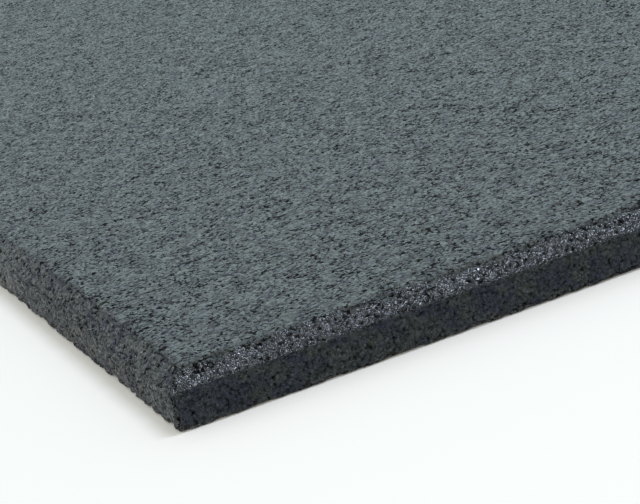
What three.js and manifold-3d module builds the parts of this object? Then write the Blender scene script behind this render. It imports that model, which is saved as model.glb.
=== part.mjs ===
// A gym floor tile, pressed in one piece from rubber crumb and polyurethane binder: a square slab with
// plumb sides, a flat bevel round its upper face, softened upright corners and a slightly eased foot.
// Millimetres, +Z up. The origin is the middle of the underside.
import * as THREE from "three";
import { mergeVertices } from "three/addons/utils/BufferGeometryUtils.js";
import Module from "manifold-3d";

// The slab
const tileLength = 1000; // along X
const tileWidth = 1000; // along Y
const tileThickness = 20;

// The bevel round the upper face
const bevelWidth = 7.5; // measured level, in from the side
const bevelDrop = 6; // measured plumb, down from the upper face

// The softened edges
const cornerRadius = 2.5; // of the four upright corners
const cornerSegments = 8; // flats round each of them
const footEase = 1; // at 45 degrees, where the sides meet the underside

// How far the raw forms run on past the tile, so that cutting never leaves a skin
const overrun = 5;

// Crumb rubber
const rubberColour = 0x3a3e40;
const rubberRoughness = 0.7;

const wasm = await Module();
wasm.setup();

// A closed three.js geometry as a solid that can be cut.
function solidFrom(geometry) {
  const bare = geometry.clone();
  bare.deleteAttribute("normal");
  bare.deleteAttribute("uv");
  const merged = mergeVertices(bare);
  return new wasm.Manifold(
    new wasm.Mesh({
      numProp: 3,
      vertProperties: merged.getAttribute("position").array,
      triVerts: new Uint32Array(merged.getIndex().array),
    }),
  );
}

// A cut solid as a three.js geometry with flat faces.
function geometryFrom(solid) {
  const mesh = solid.getMesh();
  const geometry = new THREE.BufferGeometry();
  geometry.setAttribute("position", new THREE.BufferAttribute(mesh.vertProperties, 3));
  geometry.setIndex(new THREE.BufferAttribute(mesh.triVerts, 1));
  const faceted = geometry.toNonIndexed();
  faceted.computeVertexNormals();
  return faceted;
}

// A rectangle about the origin with rounded corners.
function roundedRectangle(length, width, radius) {
  const x = length / 2;
  const y = width / 2;
  const outline = new THREE.Shape();
  outline.absarc(x - radius, y - radius, radius, 0, Math.PI / 2);
  outline.absarc(-x + radius, y - radius, radius, Math.PI / 2, Math.PI);
  outline.absarc(-x + radius, -y + radius, radius, Math.PI, 1.5 * Math.PI);
  outline.absarc(x - radius, -y + radius, radius, 1.5 * Math.PI, 2 * Math.PI);
  outline.closePath();
  return outline;
}

// A rectangle about the origin with square corners.
function rectangle(length, width) {
  const x = length / 2;
  const y = width / 2;
  return new THREE.Shape([
    new THREE.Vector2(-x, -y),
    new THREE.Vector2(x, -y),
    new THREE.Vector2(x, y),
    new THREE.Vector2(-x, y),
  ]);
}

// The plumb sides with their rounded corners and eased foot. It runs on above the upper face.
function sideBlock() {
  const outline = roundedRectangle(
    tileLength - 2 * footEase,
    tileWidth - 2 * footEase,
    cornerRadius - footEase,
  );
  const block = new THREE.ExtrudeGeometry(outline, {
    depth: tileThickness + overrun,
    curveSegments: cornerSegments,
    bevelSize: footEase,
    bevelThickness: footEase,
    bevelSegments: 1,
  });
  return block.translate(0, 0, footEase);
}

// The upper face with its bevel. It runs on below the underside.
function bevelledTop() {
  const upperFace = rectangle(tileLength - 2 * bevelWidth, tileWidth - 2 * bevelWidth);
  const shank = tileThickness + overrun;
  const block = new THREE.ExtrudeGeometry(upperFace, {
    depth: shank,
    bevelSize: bevelWidth,
    bevelThickness: bevelDrop,
    bevelSegments: 1,
  });
  return block.translate(0, 0, tileThickness - bevelDrop - shank);
}

const rubber = new THREE.MeshStandardMaterial({
  color: rubberColour,
  roughness: rubberRoughness,
  metalness: 0,
});

const slab = solidFrom(sideBlock()).intersect(solidFrom(bevelledTop()));
const rubberTile = new THREE.Mesh(geometryFrom(slab), rubber);
rubberTile.name = "rubber_tile";

const tile = new THREE.Group();
tile.add(rubberTile);

export default tile;
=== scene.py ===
"""Dresses a gym floor tile of pressed crumb rubber and lights it as in a small product studio.

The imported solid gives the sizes. The tile's skin is one closed mesh with real grains and pores where
the camera comes near, in a black crumb rubber that a binder makes glossy on the bevels.
Everything is in metres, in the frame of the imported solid.
"""

import logging
import math
from collections.abc import Sequence
from dataclasses import dataclass
from enum import Enum
from functools import partial

import bpy
import numpy as np
from mathutils import Matrix, Vector


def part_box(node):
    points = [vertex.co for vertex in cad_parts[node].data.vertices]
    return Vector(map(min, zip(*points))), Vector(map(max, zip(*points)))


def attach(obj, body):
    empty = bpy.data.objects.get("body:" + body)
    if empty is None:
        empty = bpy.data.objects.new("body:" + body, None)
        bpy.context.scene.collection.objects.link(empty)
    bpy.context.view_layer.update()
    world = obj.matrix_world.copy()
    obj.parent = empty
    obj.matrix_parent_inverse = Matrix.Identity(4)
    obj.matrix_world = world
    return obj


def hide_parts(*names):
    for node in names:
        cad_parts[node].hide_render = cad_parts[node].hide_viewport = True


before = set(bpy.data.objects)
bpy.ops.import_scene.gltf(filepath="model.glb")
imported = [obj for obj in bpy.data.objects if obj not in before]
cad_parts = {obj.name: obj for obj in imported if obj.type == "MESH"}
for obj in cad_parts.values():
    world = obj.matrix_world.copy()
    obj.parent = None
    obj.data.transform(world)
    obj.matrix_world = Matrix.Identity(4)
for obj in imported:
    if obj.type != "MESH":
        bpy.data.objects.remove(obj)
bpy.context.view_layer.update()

MM = 0.001
PHOTO_WIDTH = 640
PHOTO_HEIGHT = 504
NOISE_MEAN = 0.5

log = logging.getLogger("tile")

Colour = tuple[float, float, float, float]
Source = bpy.types.Node | tuple[bpy.types.Node, str]
Feed = float | tuple[float, ...] | Source


def linear(hex_code: str) -> Colour:
    """Turns an sRGB hex colour to linear light.

    Args:
        hex_code: six hex digits, such as "2b3034".

    Returns:
        Red, green, blue and an alpha of one.
    """
    parts = [int(hex_code[i : i + 2], 16) / 255 for i in (0, 2, 4)]
    red, green, blue = (
        part / 12.92 if part <= 0.04045 else ((part + 0.055) / 1.055) ** 2.4
        for part in parts
    )
    return red, green, blue, 1.0


def add_node(
    tree: bpy.types.NodeTree,
    kind: str,
    feeds: dict[str, Feed] | Sequence[Feed] = (),
    **settings: object,
) -> bpy.types.Node:
    """Adds a node with its settings, values and links.

    Args:
        tree: the node tree that gets the node.
        kind: the node's type name.
        feeds: what goes into each input, by the input's identifier or in the inputs' order. It is a
            value, a node, whose first working output is taken, or a node and the name of its output.
        **settings: the node's own properties.

    Returns:
        The new node.
    """
    node = tree.nodes.new(kind)
    for name, value in settings.items():
        setattr(node, name, value)
    sockets = {socket.identifier: socket for socket in node.inputs}
    named = feeds if isinstance(feeds, dict) else dict(zip(sockets, feeds))
    for name, feed in named.items():
        if isinstance(feed, bpy.types.Node):
            source = next(socket for socket in feed.outputs if socket.enabled)
            tree.links.new(source, sockets[name])
        elif isinstance(feed, tuple) and isinstance(feed[0], bpy.types.Node):
            tree.links.new(feed[0].outputs[feed[1]], sockets[name])
        else:
            sockets[name].default_value = feed
    return node


class Mark(str, Enum):
    """The values that each point of the skin carries for the relief and the finish."""

    REST = "rest"
    RELIEF = "relief"
    WORN = "worn"
    POROUS = "porous"
    GLOSS_INSET = "gloss_inset"


@dataclass(frozen=True)
class TileForm:
    """The smooth form of the slab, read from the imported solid.

    Attributes:
        half_length: half the size along X.
        half_width: half the size along Y.
        thickness: the size along Z.
        bevel_width: how far the bevel reaches in from the side.
        bevel_drop: how far it reaches down from the top.
        foot_ease: the small easing where side and underside meet.
    """

    half_length: float
    half_width: float
    thickness: float
    bevel_width: float
    bevel_drop: float
    foot_ease: float

    @classmethod
    def of_node(cls, node: str) -> "TileForm":
        """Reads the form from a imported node.

        Args:
            node: the node's name.

        Returns:
            The form with its sizes in metres.
        """
        low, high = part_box(node)
        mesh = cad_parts[node].data
        points = np.array([vertex.co for vertex in mesh.vertices], float)
        slack = 0.01 * MM
        upper = points[points[:, 2] > high.z - slack]
        side = points[points[:, 0] > high.x - slack]
        return cls(
            half_length=(high.x - low.x) / 2,
            half_width=(high.y - low.y) / 2,
            thickness=high.z - low.z,
            bevel_width=float(high.x - upper[:, 0].max()),
            bevel_drop=float(high.z - side[:, 2].max()),
            foot_ease=float(side[:, 2].min() - low.z),
        )

    @property
    def wall_top(self) -> float:
        """Height at which the plumb side ends and the bevel begins."""
        return self.thickness - self.bevel_drop


@dataclass(frozen=True)
class CrumbPattern:
    """Grains, crevices and pores of pressed rubber crumb, as one height that mesh and finish share.

    Attributes:
        grain: mean distance between grains. The usual fine crumb is 0.5 to 2 mm.
        warp: how far the grains' outlines are pulled out of shape.
        crevice: width of the groove between two grains.
        crevice_depth: depth of that groove.
        step_depth: how far a grain may lie under its neighbours.
        tilt: how steeply a grain may lean.
        dense_level: nearness to a grain's middle under which a pore opens on a dense face.
        porous_level: the same on a porous face.
        ragged: size of the noise that roughens a pore's outline.
        ragged_share: how much of the nearness that noise makes up.
        pore_edge: how much of the nearness a pore's slope takes.
        pore_depth: depth of a pore.
        cluster: size of the areas where pores crowd together.
        cluster_pull: how much those areas shift the level.
        grit: size of the roughness on each grain.
        grit_depth: depth of that roughness.
    """

    grain: float = 1.18 * MM
    warp: float = 0.8 * MM
    crevice: float = 0.2 * MM
    crevice_depth: float = 0.2 * MM
    step_depth: float = 0.2 * MM
    tilt: float = 1.1
    dense_level: float = 0.12
    porous_level: float = 0.34
    ragged: float = 0.45 * MM
    ragged_share: float = 0.6
    pore_edge: float = 0.05
    pore_depth: float = 0.6 * MM
    cluster: float = 6 * MM
    cluster_pull: float = 0.9
    grit: float = 0.3 * MM
    grit_depth: float = 0.15 * MM

    def wire(
        self, tree: bpy.types.NodeTree, place: Source, porous: Source
    ) -> tuple[bpy.types.Node, bpy.types.Node, Source]:
        """Adds the pattern to a geometry or shader tree.

        Args:
            tree: the tree that gets the nodes.
            place: where the pattern is read, in metres.
            porous: how porous the face is there, from zero to one.

        Returns:
            The node with the height, which is about zero or less, the node with the share of solid,
            which is zero in a pore, and each grain's own random colour.
        """
        add = partial(add_node, tree)
        drift = add("ShaderNodeTexNoise", {"Vector": place, "Scale": 1 / self.grain, "Detail": 1.0})
        centred = add(
            "ShaderNodeVectorMath", [(drift, "Color"), (NOISE_MEAN,) * 3], operation="SUBTRACT"
        )
        warped = add(
            "ShaderNodeVectorMath", [centred, (self.warp,) * 3, place], operation="MULTIPLY_ADD"
        )
        cell = add("ShaderNodeTexVoronoi", {"Vector": warped, "Scale": 1 / self.grain}, feature="F1")
        edge = add(
            "ShaderNodeTexVoronoi",
            {"Vector": warped, "Scale": 1 / self.grain},
            feature="DISTANCE_TO_EDGE",
        )
        groove = add(
            "ShaderNodeMapRange",
            {
                "Value": (edge, "Distance"),
                "From Max": self.crevice / self.grain,
                "To Min": -self.crevice_depth,
                "To Max": 0.0,
            },
            interpolation_type="SMOOTHSTEP",
        )
        from_middle = add("ShaderNodeVectorMath", [warped, (cell, "Position")], operation="SUBTRACT")
        lean = add(
            "ShaderNodeVectorMath",
            [(cell, "Color"), (2 * self.tilt,) * 3, (-self.tilt,) * 3],
            operation="MULTIPLY_ADD",
        )
        slant = add("ShaderNodeVectorMath", [from_middle, lean], operation="DOT_PRODUCT")
        chance = add("ShaderNodeSeparateXYZ", {"Vector": (cell, "Color")})
        step = add("ShaderNodeMath", [(chance, "X"), self.step_depth], operation="MULTIPLY")
        crowd = add(
            "ShaderNodeTexNoise",
            {"Vector": place, "Scale": 1 / self.cluster, "Detail": 3.0, "Roughness": 0.65},
        )
        evenly = add(
            "ShaderNodeMapRange",
            {"Value": porous, "To Min": self.dense_level, "To Max": self.porous_level},
        )
        centred_crowd = add("ShaderNodeMath", [(crowd, "Fac"), NOISE_MEAN], operation="SUBTRACT")
        own_crowd = add("ShaderNodeMath", [centred_crowd, porous], operation="MULTIPLY")
        level = add("ShaderNodeMath", [own_crowd, self.cluster_pull, evenly], operation="MULTIPLY_ADD")
        roughening = add(
            "ShaderNodeTexNoise", {"Vector": place, "Scale": 1 / self.ragged, "Detail": 1.0}
        )
        nearest = add(
            "ShaderNodeMath",
            [(roughening, "Fac"), self.ragged_share, 1 - self.ragged_share / 2],
            operation="MULTIPLY_ADD",
        )
        nearness = add("ShaderNodeMath", [nearest, (cell, "Distance")], operation="SUBTRACT")
        above = add("ShaderNodeMath", [nearness, level], operation="SUBTRACT")
        solid = add(
            "ShaderNodeMapRange",
            {"Value": above, "From Min": -self.pore_edge, "From Max": 0.0},
            interpolation_type="SMOOTHSTEP",
        )
        pit = add("ShaderNodeMapRange", {"Value": solid, "To Min": self.pore_depth, "To Max": 0.0})
        grit = add("ShaderNodeTexNoise", {"Vector": place, "Scale": 1 / self.grit, "Detail": 1.0})
        rough = add("ShaderNodeMath", [(grit, "Fac"), self.grit_depth], operation="MULTIPLY")
        height = add("ShaderNodeMath", [groove, (slant, "Value")], operation="ADD")
        for part in (step, pit, rough):
            height = add("ShaderNodeMath", [height, part], operation="SUBTRACT")
        return height, solid, (cell, "Color")


@dataclass(frozen=True)
class PressedCrumbRubber:
    """Recycled rubber crumb pressed with polyurethane binder.

    Black grains with pores between them, whose darker colour is painted shade for the shadow down in
    them. The pressed faces are matte and turn lighter when seen along the surface, and the binder leaves
    a wet-looking film on the bevels.

    Attributes:
        pattern: the crumb's relief.
        form: the slab's form, which places the film.
        grain_dark: colour of the darkest grains.
        grain_light: colour of the lightest grains.
        painted_pore_shade: colour down in a pore, darker than any grain: a painted shade for the shadow
            that falls there.
        wet: colour of the crumb under the film.
        green_cast: colour that some patches lean to.
        violet_cast: colour that the others lean to.
        cast_size: size of those patches.
        cast_share: how far they lean.
        cast_levels: levels of the patches' noise between which one cast turns into the other.
        wet_share: how far the film turns the crumb to its wet colour.
        ior: refraction of rubber.
        specular: mean specular level of the grains.
        grain_gloss: least and most gloss of one grain, as shares of the mean.
        patch_levels: levels of the patches' noise at which their gloss is least and most.
        patch_gloss: least and most gloss of a patch, as shares of the mean.
        pore_specular_share: share of the gloss that is left in a pore.
        roughness: mean roughness.
        roughness_spread: how far one grain may differ from it.
        side_gloss_share: share of the gloss on the densest faces.
        side_level: how porous those faces are.
        film_gloss_share: share of the crumb's own gloss that is left under the film.
        sheen: how much fine rubber dust lightens the grains seen along the surface.
        sheen_roughness: how widely that dust scatters.
        film_roughness: roughness of the cured binder.
        film_ior: refraction of the cured binder, at the high end so that its glints show.
        film_lump: size of the lumps in the film.
        film_lump_depth: depth of those lumps.
        film_patch: size of the bays along the film's inner edge.
        film_wander: how far that edge wanders in and out.
        film_inner: insets from the bevel's upper edge between which the film fades out.
        film_outer: heights from the bevel's lower edge between which it fades in.
        relief_gain: how much deeper the bump is drawn than the real relief, which is too fine to show.
    """

    pattern: CrumbPattern
    form: TileForm
    grain_dark: str = "1a1d21"
    grain_light: str = "32383f"
    # Painted shade: the pores get a colour darker than any grain, for the shadow that falls down in
    # them.
    painted_pore_shade: str = "0a0b0e"
    wet: str = "0e1a26"
    green_cast: str = "232f26"
    violet_cast: str = "22293b"
    cast_size: float = 7 * MM
    cast_share: float = 0.4
    cast_levels: tuple[float, float] = (0.4, 0.6)
    wet_share: float = 0.95
    ior: float = 1.5
    specular: float = 0.75
    grain_gloss: tuple[float, float] = (0.6, 1.4)
    patch_levels: tuple[float, float] = (0.3, 0.7)
    patch_gloss: tuple[float, float] = (0.5, 1.5)
    pore_specular_share: float = 0.0
    roughness: float = 0.42
    roughness_spread: float = 0.15
    side_gloss_share: float = 0.42
    side_level: float = 0.3
    film_gloss_share: float = 0.08
    sheen: float = 0.05
    sheen_roughness: float = 0.45
    film_roughness: float = 0.06
    film_ior: float = 1.6
    film_lump: float = 0.62 * MM
    film_lump_depth: float = 0.4 * MM
    film_patch: float = 7 * MM
    film_wander: float = 12 * MM
    film_inner: tuple[float, float] = (-1.0 * MM, 0.5 * MM)
    film_outer: tuple[float, float] = (-0.7 * MM, -0.1 * MM)
    relief_gain: float = 1.3

    def build(self) -> bpy.types.Material:
        """Makes the material.

        Returns:
            A node material that reads the skin's own marks.
        """
        material = bpy.data.materials.new("pressed_crumb_rubber")
        material.use_nodes = True
        tree = material.node_tree
        tree.nodes.clear()
        add = partial(add_node, tree)
        rest = add("ShaderNodeAttribute", attribute_name=Mark.REST.value)
        place = (rest, "Vector")
        porous = add("ShaderNodeAttribute", attribute_name=Mark.POROUS.value)
        height, solid, dice = self.pattern.wire(tree, place, (porous, "Fac"))
        split = add("ShaderNodeSeparateXYZ", {"Vector": dice})
        patches = add(
            "ShaderNodeTexNoise", {"Vector": place, "Scale": 1 / self.cast_size, "Detail": 3.0}
        )
        film = self.binder_film(tree, place)
        colour = self.crumb_colour(tree, split, patches, film, solid)
        seen = add("ShaderNodeMapRange", {"Value": solid, "To Min": self.pore_specular_share})
        gloss = self.crumb_gloss(tree, split, patches, film)
        side_gloss = add(
            "ShaderNodeMapRange",
            {
                "Value": (porous, "Fac"),
                "From Min": self.side_level,
                "To Min": self.side_gloss_share,
                "To Max": 1.0,
            },
        )
        for share in (side_gloss, seen):
            gloss = add("ShaderNodeMath", [gloss, share], operation="MULTIPLY")
        own_roughness = add(
            "ShaderNodeMapRange",
            {
                "Value": (split, "X"),
                "To Min": self.roughness - self.roughness_spread,
                "To Max": self.roughness + self.roughness_spread,
            },
        )
        coat = add("ShaderNodeMath", [film, seen], operation="MULTIPLY")
        bump = add("ShaderNodeBump", {"Height": height, "Strength": 1.0, "Distance": self.relief_gain})
        lumps = add("ShaderNodeTexNoise", {"Vector": place, "Scale": 1 / self.film_lump, "Detail": 0.5})
        film_height = add(
            "ShaderNodeMath", [(lumps, "Fac"), self.film_lump_depth], operation="MULTIPLY"
        )
        film_bump = add("ShaderNodeBump", {"Height": film_height, "Strength": 1.0, "Distance": 1.0})
        shader = add(
            "ShaderNodeBsdfPrincipled",
            {
                "Base Color": colour,
                "Roughness": own_roughness,
                "IOR": self.ior,
                "Specular IOR Level": gloss,
                "Sheen Weight": self.sheen,
                "Sheen Roughness": self.sheen_roughness,
                "Coat Weight": coat,
                "Coat Roughness": self.film_roughness,
                "Coat IOR": self.film_ior,
                "Normal": bump,
                "Coat Normal": film_bump,
            },
        )
        add("ShaderNodeOutputMaterial", {"Surface": shader})
        return material

    def crumb_colour(
        self, tree: bpy.types.NodeTree, split: Source, patches: Source, film: Source, solid: Source
    ) -> bpy.types.Node:
        """Adds the colour: black grains that differ a little, painted shade in the pores, wet crumb
        under the film.

        Args:
            tree: the material's tree.
            split: each grain's random numbers.
            patches: the noise of the patches.
            film: the film's share.
            solid: zero in a pore, one elsewhere.

        Returns:
            The node with the colour.
        """
        add = partial(add_node, tree)
        base = add(
            "ShaderNodeMix",
            {
                "Factor_Float": (split, "Y"),
                "A_Color": linear(self.grain_dark),
                "B_Color": linear(self.grain_light),
            },
            data_type="RGBA",
        )
        greener = add(
            "ShaderNodeMapRange",
            [(patches, "Fac"), *self.cast_levels],
            interpolation_type="SMOOTHSTEP",
        )
        wetness = add("ShaderNodeMath", [film, self.wet_share], operation="MULTIPLY")
        cast = add(
            "ShaderNodeMix",
            {
                "Factor_Float": greener,
                "A_Color": linear(self.violet_cast),
                "B_Color": linear(self.green_cast),
            },
            data_type="RGBA",
        )
        colour = base
        for share, other in ((self.cast_share, cast), (wetness, linear(self.wet))):
            colour = add(
                "ShaderNodeMix",
                {"Factor_Float": share, "A_Color": colour, "B_Color": other},
                data_type="RGBA",
            )
        # Painted shade: where solid falls to zero the colour turns to the dark pore colour, standing in
        # for the pit's shadow.
        return add(
            "ShaderNodeMix",
            {"Factor_Float": solid, "A_Color": linear(self.painted_pore_shade), "B_Color": colour},
            data_type="RGBA",
        )

    def crumb_gloss(
        self, tree: bpy.types.NodeTree, split: Source, patches: Source, film: Source
    ) -> bpy.types.Node:
        """Adds the crumb's specular level: its own for each grain and patch, and low under the film.

        Args:
            tree: the material's tree.
            split: each grain's random numbers.
            patches: the noise of the patches.
            film: the film's share.

        Returns:
            The node with the specular level.
        """
        add = partial(add_node, tree)
        own_gloss = add(
            "ShaderNodeMapRange",
            {
                "Value": (split, "Z"),
                "To Min": self.grain_gloss[0] * self.specular,
                "To Max": self.grain_gloss[1] * self.specular,
            },
        )
        pressed = add(
            "ShaderNodeMapRange", [(patches, "Fac"), *self.patch_levels, *self.patch_gloss]
        )
        under_film = add(
            "ShaderNodeMapRange", {"Value": film, "To Min": 1.0, "To Max": self.film_gloss_share}
        )
        gloss = own_gloss
        for share in (pressed, under_film):
            gloss = add("ShaderNodeMath", [gloss, share], operation="MULTIPLY")
        return gloss

    def binder_film(self, tree: bpy.types.NodeTree, place: Source) -> bpy.types.Node:
        """Adds the mask of the binder's film, which lies on the bevels and a little over their edges.

        Args:
            tree: the material's tree.
            place: where the mask is read, in metres.

        Returns:
            The node with the film's share, from zero to one.
        """
        add = partial(add_node, tree)
        inset = add("ShaderNodeAttribute", attribute_name=Mark.GLOSS_INSET.value)
        ragged = add(
            "ShaderNodeTexNoise", {"Vector": place, "Scale": 1 / self.film_patch, "Detail": 3.0}
        )
        shift = add(
            "ShaderNodeMath",
            [(ragged, "Fac"), self.film_wander, -NOISE_MEAN * self.film_wander],
            operation="MULTIPLY_ADD",
        )
        reach = add("ShaderNodeMath", [(inset, "Fac"), shift], operation="ADD")
        ends = [self.form.bevel_width + past for past in self.film_inner]
        inner = add("ShaderNodeMapRange", [reach, *ends, 1.0, 0.0])
        split = add("ShaderNodeSeparateXYZ", {"Vector": place})
        starts = [self.form.wall_top + past for past in self.film_outer]
        outer = add("ShaderNodeMapRange", [(split, "Z"), *starts])
        return add("ShaderNodeMath", [inner, outer], operation="MULTIPLY")


def refine(points: np.ndarray, faces: np.ndarray, target: "SizeField") -> tuple[np.ndarray, np.ndarray]:
    """Halves the longest edges of a closed triangle mesh until each is short enough where it lies.

    Args:
        points: the corners, one row each.
        faces: the triangles, as rows of three corner numbers.
        target: gives the longest edge wanted at each place.

    Returns:
        The new corners and triangles. The mesh stays closed.
    """
    while True:
        corners = points[faces]
        sides = np.linalg.norm(np.roll(corners, -1, axis=1) - corners, axis=2)
        order = (sides.argmax(axis=1)[:, None] + np.arange(3)) % 3
        faces = np.take_along_axis(faces, order, axis=1)
        middles = (points[faces[:, 0]] + points[faces[:, 1]]) / 2
        coarse = sides.max(axis=1) > target.longest_edge(middles)
        if not coarse.any():
            return points, faces
        ends = np.sort(np.stack([faces, np.roll(faces, -1, axis=1)], axis=2), axis=2)
        keys = ends[:, :, 0] * len(points) + ends[:, :, 1]
        edges, edge_of = np.unique(keys, return_inverse=True)
        edge_of = edge_of.reshape(-1, 3)
        halved = np.zeros(len(edges), bool)
        halved[edge_of[coarse, 0]] = True
        waiting = halved[edge_of].any(axis=1) & ~halved[edge_of[:, 0]]
        while waiting.any():
            halved[edge_of[waiting, 0]] = True
            waiting = halved[edge_of].any(axis=1) & ~halved[edge_of[:, 0]]
        middle_of = np.where(halved, len(points) + np.cumsum(halved) - 1, -1)
        split = edges[halved]
        new_points = (points[split // len(points)] + points[split % len(points)]) / 2
        whole = faces[~halved[edge_of[:, 0]]]
        cut = halved[edge_of[:, 0]]
        a, b, c = faces[cut].T
        ab, bc, ca = middle_of[edge_of[cut]].T
        near = np.stack([c, a, ab], axis=1)
        far = np.stack([b, c, ab], axis=1)
        pieces = [whole]
        for half, middle in ((near, ca), (far, bc)):
            again = middle >= 0
            pieces.append(half[~again])
            start, end, tip = half[again].T
            pieces.append(np.stack([start, middle[again], tip], axis=1))
            pieces.append(np.stack([middle[again], end, tip], axis=1))
        points = np.concatenate([points, new_points])
        faces = np.concatenate(pieces)


@dataclass(frozen=True)
class SizeField:
    """How fine the skin is at each place.

    Attributes:
        form: the slab's form.
        finest: longest edge on the near sides.
        plain: longest edge on the far sides.
        broad: longest edge in the middle of the flat faces.
        near_x: how far along X from the near corner the sides are at their finest.
        near_y: how far along Y from it they are.
        growth: how much longer an edge may be for each metre further away.
        flat_growth: the same going in from the rim of the top, as far as the relief goes.
        relief_end: edge length at which the relief has faded out.
        smooth_growth: growth from there on, where the mesh is smooth and flat.
        under_growth: growth going in under the tile.
        rim_margin: how far past the bevel the top is as fine as its rim.
    """

    form: TileForm
    finest: float = 1.0 * MM
    plain: float = 10 * MM
    broad: float = 20 * MM
    near_x: float = 160 * MM
    near_y: float = 170 * MM
    growth: float = 0.015
    flat_growth: float = 0.06
    relief_end: float = 2.9 * MM
    smooth_growth: float = 0.5
    under_growth: float = 1.5
    rim_margin: float = 2 * MM

    def longest_edge(self, places: np.ndarray) -> np.ndarray:
        """Gives the longest edge wanted at each place.

        Args:
            places: rows of X, Y and Z.

        Returns:
            One length for each row.
        """
        x, y, z = places.T
        past_x = np.maximum(x + self.form.half_length - self.near_x, 0)
        past_y = np.maximum(y + self.form.half_width - self.near_y, 0)
        beyond = np.hypot(past_x, past_y)
        rim = np.minimum(self.finest + self.growth * beyond, self.plain)
        inset = np.minimum(self.form.half_length - abs(x), self.form.half_width - abs(y))
        on_rim = self.form.bevel_width + self.rim_margin
        inward = np.maximum(inset - on_rim, 0)
        fading = np.maximum(self.relief_end - rim, 0) / self.flat_growth
        smooth = np.maximum(inward - fading, 0)
        flat = rim + self.flat_growth * np.minimum(inward, fading) + self.smooth_growth * smooth
        flat = np.minimum(flat, self.broad)
        under = np.maximum(inset - self.form.foot_ease, 0)
        below = np.minimum(rim + self.under_growth * under, self.broad)
        return np.where(z < self.form.foot_ease / 2, below, flat)


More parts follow.
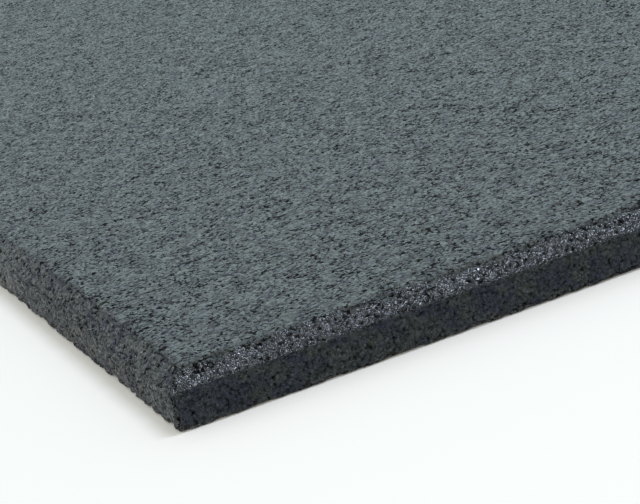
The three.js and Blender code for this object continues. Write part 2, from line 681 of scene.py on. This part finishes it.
@dataclass(frozen=True)
class CrumbSkin:
    """The tile's outer surface: one closed mesh with grains, pores and worn corners.

    Attributes:
        form: the slab's form.
        pattern: the crumb's relief.
        sizes: how fine the mesh is.
        corner_radius: softening of the upright corners.
        arris: softening of the bevel's two edges.
        cage_cells: cells along each side before refining.
        corner_steps: cells round each upright corner.
        arris_steps: cells round each softened edge.
        press: how far the mould has pressed down the highest grains.
        side_relief: share of the relief that the two sides across Y keep.
        end_relief: share that the two sides across X keep.
        pressed_relief: share of the relief that the flat top keeps after pressing.
        fade_start: edge length, in grains, at which the relief starts to fade out.
        fade_span: how much longer an edge is, in grains, where it is gone.
        rim_blend: width over which the bevel's relief turns into that of the flat top.
        corner_blend: width over which one side's relief turns into the next one's.
        film_end: how fast the binder's film ends towards the two sides across X.
        foot_band: share of the height over which the foot's pores thin out.
        bevel_band: share of the height over which the wall's few pores turn into the bevel's many.
        foot_pores: how porous the foot is.
        wall_pores: the same low and high on the wall.
        bevel_pores: the same low and high on the bevel.
        end_pores: how much more porous the two sides across X are than those across Y.
        sway: size of the slow unevenness of the sides.
        sway_depth: depth of it.
        chip: size of the crumbs missing from the edges.
        chip_depth: how deep such a gap may be.
        chip_levels: distance from a crumb's middle, in crumbs, where a gap starts and is deepest.
        chip_smoothness: how round a gap is.
        worn_reach: how far from an edge crumbs go missing.
        foot_wear: how many crumbs are missing along the foot of the sides across Y.
        end_foot_wear: the same across X.
        upright_wear: the same along the upright corners.
        arris_wear: the same where wall and bevel meet.
        rim_wear: the same where bevel and top meet.
    """

    form: TileForm
    pattern: CrumbPattern
    sizes: SizeField
    corner_radius: float = 2.5 * MM
    arris: float = 0.9 * MM
    cage_cells: int = 50
    corner_steps: int = 4
    arris_steps: int = 2
    press: float = 0.2 * MM
    side_relief: float = 0.75
    end_relief: float = 1.1
    pressed_relief: float = 0.1
    fade_start: float = 0.8
    fade_span: float = 1.6
    rim_blend: float = 1 * MM
    corner_blend: float = 3 * MM
    film_end: float = 4.0
    foot_band: float = 0.1
    bevel_band: float = 0.04
    foot_pores: float = 0.9
    wall_pores: tuple[float, float] = (0.35, 0.25)
    bevel_pores: tuple[float, float] = (0.75, 0.95)
    end_pores: float = 0.8
    sway: float = 14 * MM
    sway_depth: float = 0.35 * MM
    chip: float = 5.5 * MM
    chip_depth: float = 2.9 * MM
    chip_levels: tuple[float, float] = (0.43, 0.8)
    chip_smoothness: float = 0.35
    worn_reach: float = 2.0 * MM
    foot_wear: float = 0.65
    end_foot_wear: float = 1.0
    upright_wear: float = 0.8
    arris_wear: float = 0.2
    rim_wear: float = 0.5

    def section(self) -> list[tuple[float, float, float]]:
        """Walks up the side, from the underside's rim to the rim of the flat top.

        Returns:
            Points of inset, height and plan radius.
        """
        form = self.form
        foot = form.foot_ease
        corners = [
            (foot, 0.0),
            (0.0, foot),
            (0.0, form.wall_top),
            (form.bevel_width, form.thickness),
            (form.bevel_width + 2 * self.arris, form.thickness),
        ]
        path = [np.array(corners[0]), np.array(corners[1])]
        for before, corner, after in zip(corners[1:], corners[2:], corners[3:]):
            here = np.array(corner)
            back = np.array(before) - here
            ahead = np.array(after) - here
            start = here + back / np.linalg.norm(back) * self.arris
            end = here + ahead / np.linalg.norm(ahead) * self.arris
            for step in range(self.arris_steps + 1):
                t = step / self.arris_steps
                path.append((1 - t) ** 2 * start + 2 * t * (1 - t) * here + t**2 * end)
        path.append(np.array(corners[-1]))
        widest = corners[-1][0]
        return [
            (float(inset), float(z), self.corner_radius * (1 - float(inset) / widest))
            for inset, z in path
        ]

    def ring(self, inset: float, radius: float) -> np.ndarray:
        """Goes once round the tile in plan.

        Args:
            inset: how far in from the sides.
            radius: plan radius of the corners.

        Returns:
            Rows of X and Y, anticlockwise from the near corner.
        """
        x = self.form.half_length - inset
        y = self.form.half_width - inset
        steps = np.arange(self.cage_cells) / self.cage_cells
        rows = []
        for turn, (across, along) in enumerate(((x, y), (y, x), (x, y), (y, x))):
            side_x = (2 * steps - 1) * (across - radius)
            side_y = np.full_like(side_x, -along)
            angle = math.pi / 2 * (np.arange(self.corner_steps) / self.corner_steps)
            arc_x = across - radius + radius * np.sin(angle)
            arc_y = -along + radius - radius * np.cos(angle)
            flat = np.stack([np.append(side_x, arc_x), np.append(side_y, arc_y)], axis=1)
            quarter = turn * math.pi / 2
            spin = np.array(
                [[math.cos(quarter), math.sin(quarter)], [-math.sin(quarter), math.cos(quarter)]]
            )
            rows.append(flat @ spin)
        return np.concatenate(rows)

    def cage(self) -> tuple[np.ndarray, np.ndarray]:
        """Builds the smooth closed form that is refined later.

        Returns:
            Corners and triangles.
        """
        rings = []
        for inset, z, radius in self.section():
            plan = self.ring(inset, radius)
            rings.append(np.column_stack([plan, np.full(len(plan), z)]))
        count = len(rings[0])
        points = [np.concatenate(rings)]
        here = np.arange(count)
        after = np.roll(here, -1)
        faces = []
        for level in range(len(rings) - 1):
            low, high = level * count, (level + 1) * count
            faces.append(np.stack([low + here, low + after, high + after], axis=1))
            faces.append(np.stack([low + here, high + after, high + here], axis=1))
        start = count * len(rings)
        for (inset, z, radius), upward in ((self.section()[0], False), (self.section()[-1], True)):
            lid, lid_faces = self.lid(inset, radius, z)
            points.append(lid)
            faces.append(start + (lid_faces if upward else lid_faces[:, ::-1]))
            start += len(lid)
        return self.welded(np.concatenate(points), np.concatenate(faces))

    def lid(self, inset: float, radius: float, z: float) -> tuple[np.ndarray, np.ndarray]:
        """Fills a ring with a grid whose border meets the ring's own points.

        Args:
            inset: the ring's inset.
            radius: the ring's corner radius.
            z: the height.

        Returns:
            Corners and triangles, facing up.
        """
        cells = self.cage_cells
        steps = np.arange(cells + 1) / cells
        xs = (2 * steps - 1) * (self.form.half_length - inset - radius)
        ys = (2 * steps - 1) * (self.form.half_width - inset - radius)
        grid = np.stack(np.meshgrid(xs, ys, indexing="ij"), axis=2).reshape(-1, 2)
        number = np.arange((cells + 1) ** 2).reshape(cells + 1, cells + 1)
        a, b = number[:-1, :-1].ravel(), number[1:, :-1].ravel()
        c, d = number[1:, 1:].ravel(), number[:-1, 1:].ravel()
        faces = [np.stack([a, b, c], axis=1), np.stack([a, c, d], axis=1)]
        points = [grid]
        if radius > 0:
            ring = self.ring(inset, radius)
            inner = self.ring(inset + radius, 0.0)
            count = len(ring)
            start = len(grid)
            here = np.arange(count)
            after = np.roll(here, -1)
            points += [ring, inner]
            faces.append(np.stack([start + here, start + after, start + count + after], axis=1))
            faces.append(
                np.stack([start + here, start + count + after, start + count + here], axis=1)
            )
        plan = np.concatenate(points)
        return np.column_stack([plan, np.full(len(plan), z)]), np.concatenate(faces)

    @staticmethod
    def welded(points: np.ndarray, faces: np.ndarray) -> tuple[np.ndarray, np.ndarray]:
        """Joins points that lie together and drops faces that this leaves without area.

        Args:
            points: the corners.
            faces: the triangles.

        Returns:
            Corners and triangles.
        """
        same_place = 0.001 * MM
        keys = np.round(points / same_place).astype(np.int64)
        _, first, number = np.unique(keys, axis=0, return_index=True, return_inverse=True)
        faces = number.reshape(-1)[faces]
        a, b, c = faces.T
        return points[first], faces[(a != b) & (b != c) & (c != a)]

    def build(self, finish: bpy.types.Material) -> bpy.types.Object:
        """Makes the skin.

        Args:
            finish: the crumb rubber.

        Returns:
            The mesh object.
        """
        points, faces = refine(*self.cage(), self.sizes)
        mesh = bpy.data.meshes.new("crumb_skin")
        mesh.from_pydata(points, [], faces)
        self.mark(mesh, points)
        skin = bpy.data.objects.new("crumb_rubber_tile", mesh)
        bpy.context.scene.collection.objects.link(skin)
        skin.modifiers.new("relief", "NODES").node_group = self.relief_group()
        shown = skin.evaluated_get(bpy.context.evaluated_depsgraph_get())
        skin.data = bpy.data.meshes.new_from_object(shown)
        skin.modifiers.clear()
        skin.data.materials.clear()
        skin.data.materials.append(finish)
        skin.data.shade_smooth()
        return skin

    def mark(self, mesh: bpy.types.Mesh, points: np.ndarray) -> None:
        """Stores on the mesh where each point lay before the relief, and how deep the relief is there.

        Args:
            mesh: the refined mesh.
            points: its corners.
        """
        form = self.form
        inset_x = form.half_length - abs(points[:, 0])
        inset_y = form.half_width - abs(points[:, 1])
        inset = np.minimum(inset_x, inset_y)
        gloss_inset = inset_y + self.film_end * np.maximum(inset_y - inset_x, 0)
        edge = self.sizes.longest_edge(points)
        coarse = np.clip((edge / self.pattern.grain - self.fade_start) / self.fade_span, 0, 1)
        flat_top = np.clip((inset - form.bevel_width) / self.rim_blend + 0.5, 0, 1)
        on_end = np.clip((inset_y - inset_x) / self.corner_blend + 0.5, 0, 1)
        on_side = self.side_relief + (self.end_relief - self.side_relief) * on_end
        relief = (1 - coarse) * (on_side + (self.pressed_relief - on_side) * flat_top)
        worn = (1 - coarse) * self.wear(inset_x, inset_y, points[:, 2], on_end)
        rows = {
            Mark.REST: ("FLOAT_VECTOR", "vector", points),
            Mark.RELIEF: ("FLOAT", "value", relief),
            Mark.WORN: ("FLOAT", "value", worn),
            Mark.POROUS: ("FLOAT", "value", self.porosity(points[:, 2], on_end, flat_top)),
            Mark.GLOSS_INSET: ("FLOAT", "value", gloss_inset),
        }
        for name, (kind, slot, values) in rows.items():
            layer = mesh.attributes.new(name.value, kind, "POINT")
            layer.data.foreach_set(slot, values.astype(np.float32).ravel())

    def porosity(self, heights: np.ndarray, on_end: np.ndarray, flat_top: np.ndarray) -> np.ndarray:
        """Tells how porous the crumb is: much at the foot, little on the wall, most on bevel and top.

        Args:
            heights: height of each point.
            on_end: one on the sides across X, zero on those across Y.
            flat_top: one on the flat top, zero elsewhere.

        Returns:
            One value for each point, from zero to one.
        """
        rise = np.clip(heights / self.form.thickness, 0, 1)
        wall_share = self.form.wall_top / self.form.thickness
        levels = [0, self.foot_band, wall_share, wall_share + self.bevel_band, 1]
        porous = np.interp(rise, levels, [self.foot_pores, *self.wall_pores, *self.bevel_pores])
        porous = porous + (1 - porous) * self.end_pores * on_end
        return porous + (1 - porous) * flat_top

    def wear(
        self, inset_x: np.ndarray, inset_y: np.ndarray, heights: np.ndarray, on_end: np.ndarray
    ) -> np.ndarray:
        """Tells how many crumbs are missing near the tile's edges.

        Args:
            inset_x: how far in along X each point lies.
            inset_y: how far in along Y.
            heights: height of each point.
            on_end: one on the sides across X, zero on those across Y.

        Returns:
            One value for each point, from zero to one.
        """
        form = self.form
        inset = np.minimum(inset_x, inset_y)
        foot_wear = self.foot_wear + (self.end_foot_wear - self.foot_wear) * on_end
        edges = (
            (np.hypot(inset, heights), foot_wear),
            (np.hypot(inset_x, inset_y), self.upright_wear),
            (np.hypot(inset, heights - form.wall_top), self.arris_wear),
            (np.hypot(inset - form.bevel_width, heights - form.thickness), self.rim_wear),
        )
        falls = [share * np.exp(-((near / self.worn_reach) ** 2)) for near, share in edges]
        return np.max(falls, axis=0)

    def relief_group(self) -> bpy.types.NodeTree:
        """Makes the geometry group that presses the crumb's relief into the skin.

        Returns:
            The group.
        """
        group = bpy.data.node_groups.new("crumb_relief", "GeometryNodeTree")
        group.interface.new_socket("Geometry", in_out="INPUT", socket_type="NodeSocketGeometry")
        group.interface.new_socket("Geometry", in_out="OUTPUT", socket_type="NodeSocketGeometry")
        add = partial(add_node, group)
        start = add("NodeGroupInput")
        place = add("GeometryNodeInputPosition")
        normal = add("GeometryNodeInputNormal")
        share = add("GeometryNodeInputNamedAttribute", {"Name": Mark.RELIEF.value}, data_type="FLOAT")
        porous = add("GeometryNodeInputNamedAttribute", {"Name": Mark.POROUS.value}, data_type="FLOAT")
        height, _, _ = self.pattern.wire(group, place, (porous, "Attribute"))
        raised = add("ShaderNodeMath", [height, self.press], operation="ADD")
        pressed = add("ShaderNodeMath", [raised, 0.0], operation="MINIMUM")
        depth = add("ShaderNodeMath", [pressed, (share, "Attribute")], operation="MULTIPLY")
        slow = add("ShaderNodeTexNoise", {"Vector": place, "Scale": 1 / self.sway, "Detail": 1.0})
        swayed = add(
            "ShaderNodeMath", [(slow, "Fac"), -self.sway_depth, depth], operation="MULTIPLY_ADD"
        )
        worn = add("GeometryNodeInputNamedAttribute", {"Name": Mark.WORN.value}, data_type="FLOAT")
        lumps = add(
            "ShaderNodeTexVoronoi",
            {"Vector": place, "Scale": 1 / self.chip, "Smoothness": self.chip_smoothness},
            feature="SMOOTH_F1",
        )
        lost = add(
            "ShaderNodeMapRange", [(lumps, "Distance"), *self.chip_levels, 0.0, -self.chip_depth]
        )
        chipped = add("ShaderNodeMath", [lost, (worn, "Attribute"), swayed], operation="MULTIPLY_ADD")
        inward = add("ShaderNodeVectorMath", {"Vector": normal, "Scale": chipped}, operation="SCALE")
        moved = add("GeometryNodeSetPosition", {"Geometry": (start, "Geometry"), "Offset": inward})
        add("NodeGroupOutput", {"Socket_1": moved})
        return group


@dataclass(frozen=True)
class StudioCamera:
    """A long lens low over the near corner, turned a little about its own axis.

    Attributes:
        form: the slab's form.
        focal_pixels: focal length in pixels of the photograph.
        pitch: how far the camera looks down, in degrees.
        yaw: where it looks in plan, in degrees from +X towards +Y.
        roll: how far it is turned about its own axis, in degrees.
        back: distance from the near corner, in thicknesses of the tile.
        corner_pixel: where the near corner's foot shows in the photograph.
        sensor: width of the sensor, in millimetres.
        clip: nearest and farthest distance that the camera shows.
    """

    form: TileForm
    focal_pixels: float = 2506.0
    pitch: float = 15.9
    yaw: float = 72.6
    roll: float = -14.0
    back: float = 40.76
    corner_pixel: tuple[float, float] = (179.7, 435.2)
    sensor: float = 36.0
    clip: tuple[float, float] = (10 * MM, 200.0)

    def build(self) -> bpy.types.Object:
        """Makes the camera and gives it to the scene.

        Returns:
            The camera object.
        """
        data = bpy.data.cameras.new("studio_camera")
        data.sensor_width = self.sensor
        data.lens = self.focal_pixels / PHOTO_WIDTH * self.sensor
        data.clip_start, data.clip_end = self.clip
        pitch, yaw, roll = (math.radians(angle) for angle in (self.pitch, self.yaw, self.roll))
        ahead = Vector(
            (
                math.cos(pitch) * math.cos(yaw),
                math.cos(pitch) * math.sin(yaw),
                -math.sin(pitch),
            )
        )
        level_right = Vector((math.sin(yaw), -math.cos(yaw), 0.0))
        level_up = level_right.cross(ahead)
        right = math.cos(roll) * level_right + math.sin(roll) * level_up
        up = right.cross(ahead)
        across = (self.corner_pixel[0] - PHOTO_WIDTH / 2) / self.focal_pixels
        down = (self.corner_pixel[1] - PHOTO_HEIGHT / 2) / self.focal_pixels
        ray = (ahead + across * right - down * up).normalized()
        corner = Vector((-self.form.half_length, -self.form.half_width, 0.0))
        turn = Matrix((right, up, -ahead)).transposed().to_4x4()
        camera = bpy.data.objects.new("studio_camera", data)
        camera.matrix_world = (
            Matrix.Translation(corner - self.back * self.form.thickness * ray) @ turn
        )
        bpy.context.scene.collection.objects.link(camera)
        bpy.context.scene.camera = camera
        return camera


@dataclass(frozen=True)
class SoftBox:
    """One soft box.

    Attributes:
        name: its name in the scene.
        place: its middle.
        size: its sides, across and along the way that it faces.
        power: its power in watts.
        colour: its colour.
        aim: the point that it faces.
    """

    name: str
    place: tuple[float, float, float]
    size: tuple[float, float]
    power: float
    colour: str
    aim: tuple[float, float, float] = (-0.5, -0.5, 0.0)

    def hang(self) -> None:
        """Hangs the box in the scene."""
        data = bpy.data.lights.new(self.name, "AREA")
        data.shape = "RECTANGLE"
        data.size, data.size_y = self.size
        data.energy = self.power
        data.color = linear(self.colour)[:3]
        box = bpy.data.objects.new(self.name, data)
        place = Vector(self.place)
        turn = (Vector(self.aim) - place).to_track_quat("-Z", "Y")
        box.matrix_world = Matrix.Translation(place) @ turn.to_matrix().to_4x4()
        box.visible_camera = False
        bpy.context.scene.collection.objects.link(box)


@dataclass(frozen=True)
class Studio:
    """A pale floor, two soft boxes and a surround with a low glow behind the tile.

    Attributes:
        floor_size: side of the floor.
        floor_gap: how far the floor lies under the tile.
        floor_colour: the board's colour.
        floor_roughness: the board's roughness.
        floor_specular: the board's specular level.
        fill_colour: colour of the surround.
        fill_side: where the surround is brightest.
        fill_reach: cosines of the angle from there at which it is dimmest and brightest.
        fill_dim: strength on the other side.
        fill_bright: strength on that side.
        glow_colour: colour of the glow behind the tile.
        glow_side: where the glow is.
        glow_reach: how far it reaches, as the cosine of the angle from its middle.
        glow: its strength.
        boxes: the soft boxes.
    """

    floor_size: float = 60.0
    floor_gap: float = 0.05 * MM
    floor_colour: str = "eae7e3"
    floor_roughness: float = 0.9
    floor_specular: float = 0.2
    fill_colour: str = "f6f9f5"
    fill_side: tuple[float, float, float] = (-0.86, -0.42, 0.3)
    fill_reach: tuple[float, float] = (-0.5, 0.9)
    fill_dim: float = 0.32
    fill_bright: float = 1.08
    glow_colour: str = "b9d7dd"
    glow_side: tuple[float, float, float] = (0.35, 0.88, 0.33)
    glow_reach: float = 0.6
    glow: float = 1.21
    boxes: tuple[SoftBox, ...] = (
        SoftBox("long_box", (0.42, -0.7, 2.6), (0.22, 1.2), 32.0, "e0eafd"),
        SoftBox("corner_box", (-3.3, -2.9, 1.5), (2.0, 2.0), 64.0, "fbf9f4"),
    )

    def build(self) -> None:
        """Makes the floor, the surround and the soft boxes."""
        self.lay_floor()
        self.light_surround()
        for box in self.boxes:
            box.hang()

    def lay_floor(self) -> None:
        """Lays the floor just under the tile."""
        half = self.floor_size / 2
        corners = [(-half, -half), (half, -half), (half, half), (-half, half)]
        mesh = bpy.data.meshes.new("studio_floor")
        mesh.from_pydata([(x, y, -self.floor_gap) for x, y in corners], [], [(0, 1, 2, 3)])
        # Painted board: matte all over, so the tile's shadow falls off softly and nothing mirrors in it.
        material = bpy.data.materials.new("matte_white_board")
        material.use_nodes = True
        tree = material.node_tree
        tree.nodes.clear()
        add = partial(add_node, tree)
        shader = add(
            "ShaderNodeBsdfPrincipled",
            {
                "Base Color": linear(self.floor_colour),
                "Roughness": self.floor_roughness,
                "Specular IOR Level": self.floor_specular,
            },
        )
        add("ShaderNodeOutputMaterial", {"Surface": shader})
        mesh.materials.append(material)
        floor = bpy.data.objects.new("studio_floor", mesh)
        bpy.context.scene.collection.objects.link(floor)

    def light_surround(self) -> None:
        """Lights the room from all round, with a bluish glow low behind the tile."""
        world = bpy.data.worlds.new("studio_surround")
        bpy.context.scene.world = world
        world.use_nodes = True
        tree = world.node_tree
        tree.nodes.clear()
        add = partial(add_node, tree)
        way = add("ShaderNodeTexCoord")
        lobes = (
            (self.fill_side, *self.fill_reach, self.fill_dim, self.fill_bright, self.fill_colour),
            (self.glow_side, self.glow_reach, 1.0, 0.0, self.glow, self.glow_colour),
        )
        lights = []
        for side, outer, inner, low, high, colour in lobes:
            facing = add(
                "ShaderNodeVectorMath",
                [(way, "Generated"), tuple(Vector(side).normalized())],
                operation="DOT_PRODUCT",
            )
            strength = add(
                "ShaderNodeMapRange",
                [(facing, "Value"), outer, inner, low, high],
                interpolation_type="SMOOTHSTEP",
            )
            lights.append(
                add("ShaderNodeBackground", {"Color": linear(colour), "Strength": strength})
            )
        both = add("ShaderNodeAddShader", {"Shader": lights[0], "Shader_001": lights[1]})
        add("ShaderNodeOutputWorld", {"Surface": both})


def main() -> None:
    """Builds the camera, the tile and the studio in order, and logs the form and the tile's faces."""
    logging.basicConfig(level=logging.INFO, format="%(name)s: %(message)s")
    node = "rubber_tile"
    form = TileForm.of_node(node)
    log.info("form %s", form)
    StudioCamera(form).build()
    pattern = CrumbPattern()
    finish = PressedCrumbRubber(pattern, form).build()
    skin = CrumbSkin(form, pattern, SizeField(form)).build(finish)
    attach(skin, "root")
    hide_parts(node)
    log.info("%s: %d faces", skin.name, len(skin.data.polygons))
    Studio().build()
    bpy.context.scene.view_settings.view_transform = "Standard"


if __name__ == "__main__":
    main()
